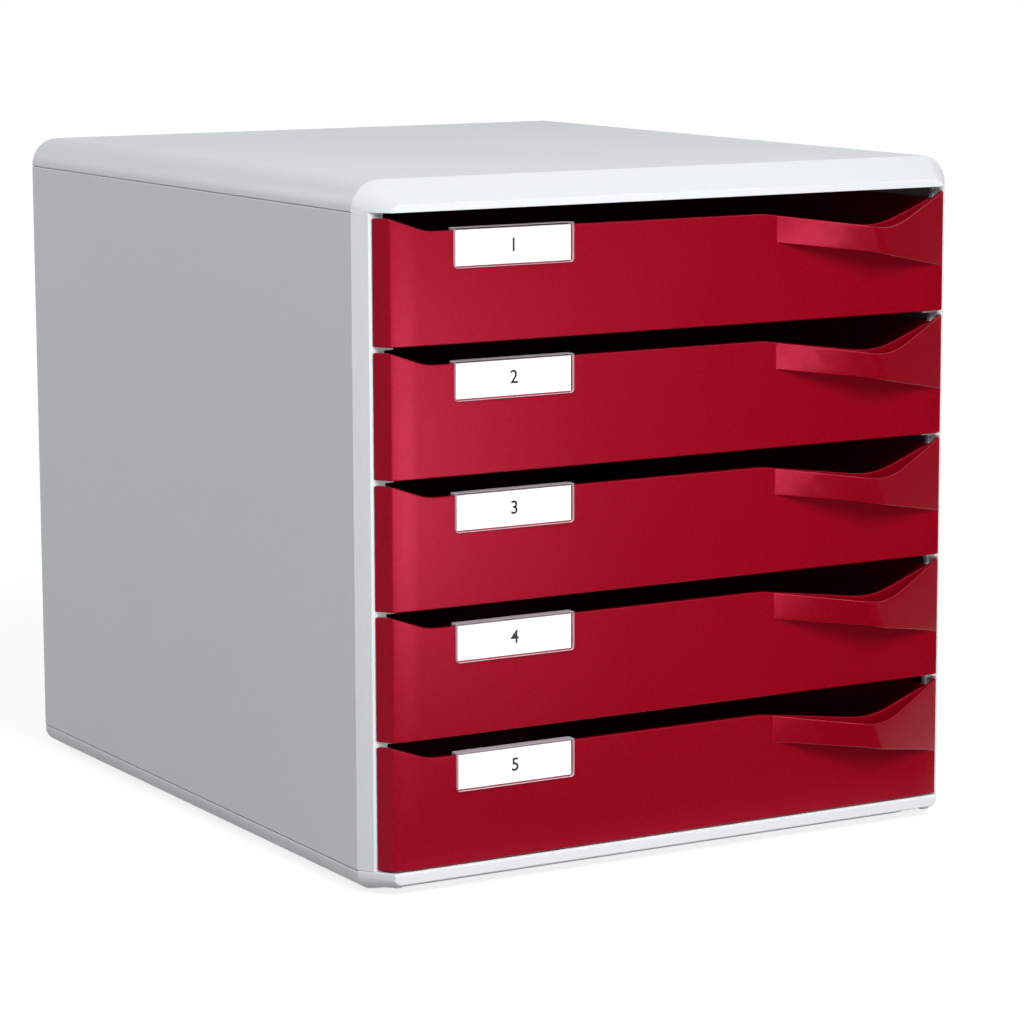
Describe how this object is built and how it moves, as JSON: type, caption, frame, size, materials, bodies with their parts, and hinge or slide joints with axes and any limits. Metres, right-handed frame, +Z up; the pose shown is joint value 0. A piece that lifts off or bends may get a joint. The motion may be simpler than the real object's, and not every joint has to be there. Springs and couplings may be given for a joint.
{
  "type": "desktop drawer unit",
  "caption": "Desktop drawer unit: grey bevelled housing with stacked sliding paper trays, each with a moulded finger pull and a clear label window.",
  "frame": {"origin": "middle of the underside of the closed unit, on the surface that the foot pads stand on, halfway between the finger pulls' ridges and the back", "axes": "+X to the user's right as they face the drawers, +Y to the back, +Z up"},
  "size_m": [0.291, 0.352, 0.291],
  "materials": {
    "grey_housing": "satin, very fine moulded grain",
    "red_drawer": "satin, fine moulded grain",
    "clear_window": "clear moulded plastic",
    "white_card": "uncoated white card",
    "rubber_foot": "matte"
  },
  "bodies": {
    "housing": {"top_cover": "grey_housing", "base_tray": "grey_housing", "left_side_wall": "grey_housing", "right_side_wall": "grey_housing", "back_panel": "grey_housing", "foot_pad_front_left": "rubber_foot", "foot_pad_front_right": "rubber_foot", "foot_pad_rear_left": "rubber_foot", "foot_pad_rear_right": "rubber_foot"},
    "drawer_1": {"drawer_1": "red_drawer", "label_window_1": "clear_window", "label_card_1": "white_card"},
    "drawer_2": {"drawer_2": "red_drawer", "label_window_2": "clear_window", "label_card_2": "white_card"},
    "drawer_3": {"drawer_3": "red_drawer", "label_window_3": "clear_window", "label_card_3": "white_card"},
    "drawer_4": {"drawer_4": "red_drawer", "label_window_4": "clear_window", "label_card_4": "white_card"},
    "drawer_5": {"drawer_5": "red_drawer", "label_window_5": "clear_window", "label_card_5": "white_card"}
  },
  "joints": [
    {"name": "drawer_1_slide", "type": "slide", "parent": "housing", "child": "drawer_1", "axis": [0, -1, 0], "range_m": [0, 0.24]},
    {"name": "drawer_2_slide", "type": "slide", "parent": "housing", "child": "drawer_2", "axis": [0, -1, 0], "range_m": [0, 0.24]},
    {"name": "drawer_3_slide", "type": "slide", "parent": "housing", "child": "drawer_3", "axis": [0, -1, 0], "range_m": [0, 0.24]},
    {"name": "drawer_4_slide", "type": "slide", "parent": "housing", "child": "drawer_4", "axis": [0, -1, 0], "range_m": [0, 0.24]},
    {"name": "drawer_5_slide", "type": "slide", "parent": "housing", "child": "drawer_5", "axis": [0, -1, 0], "range_m": [0, 0.24]}
  ]
}
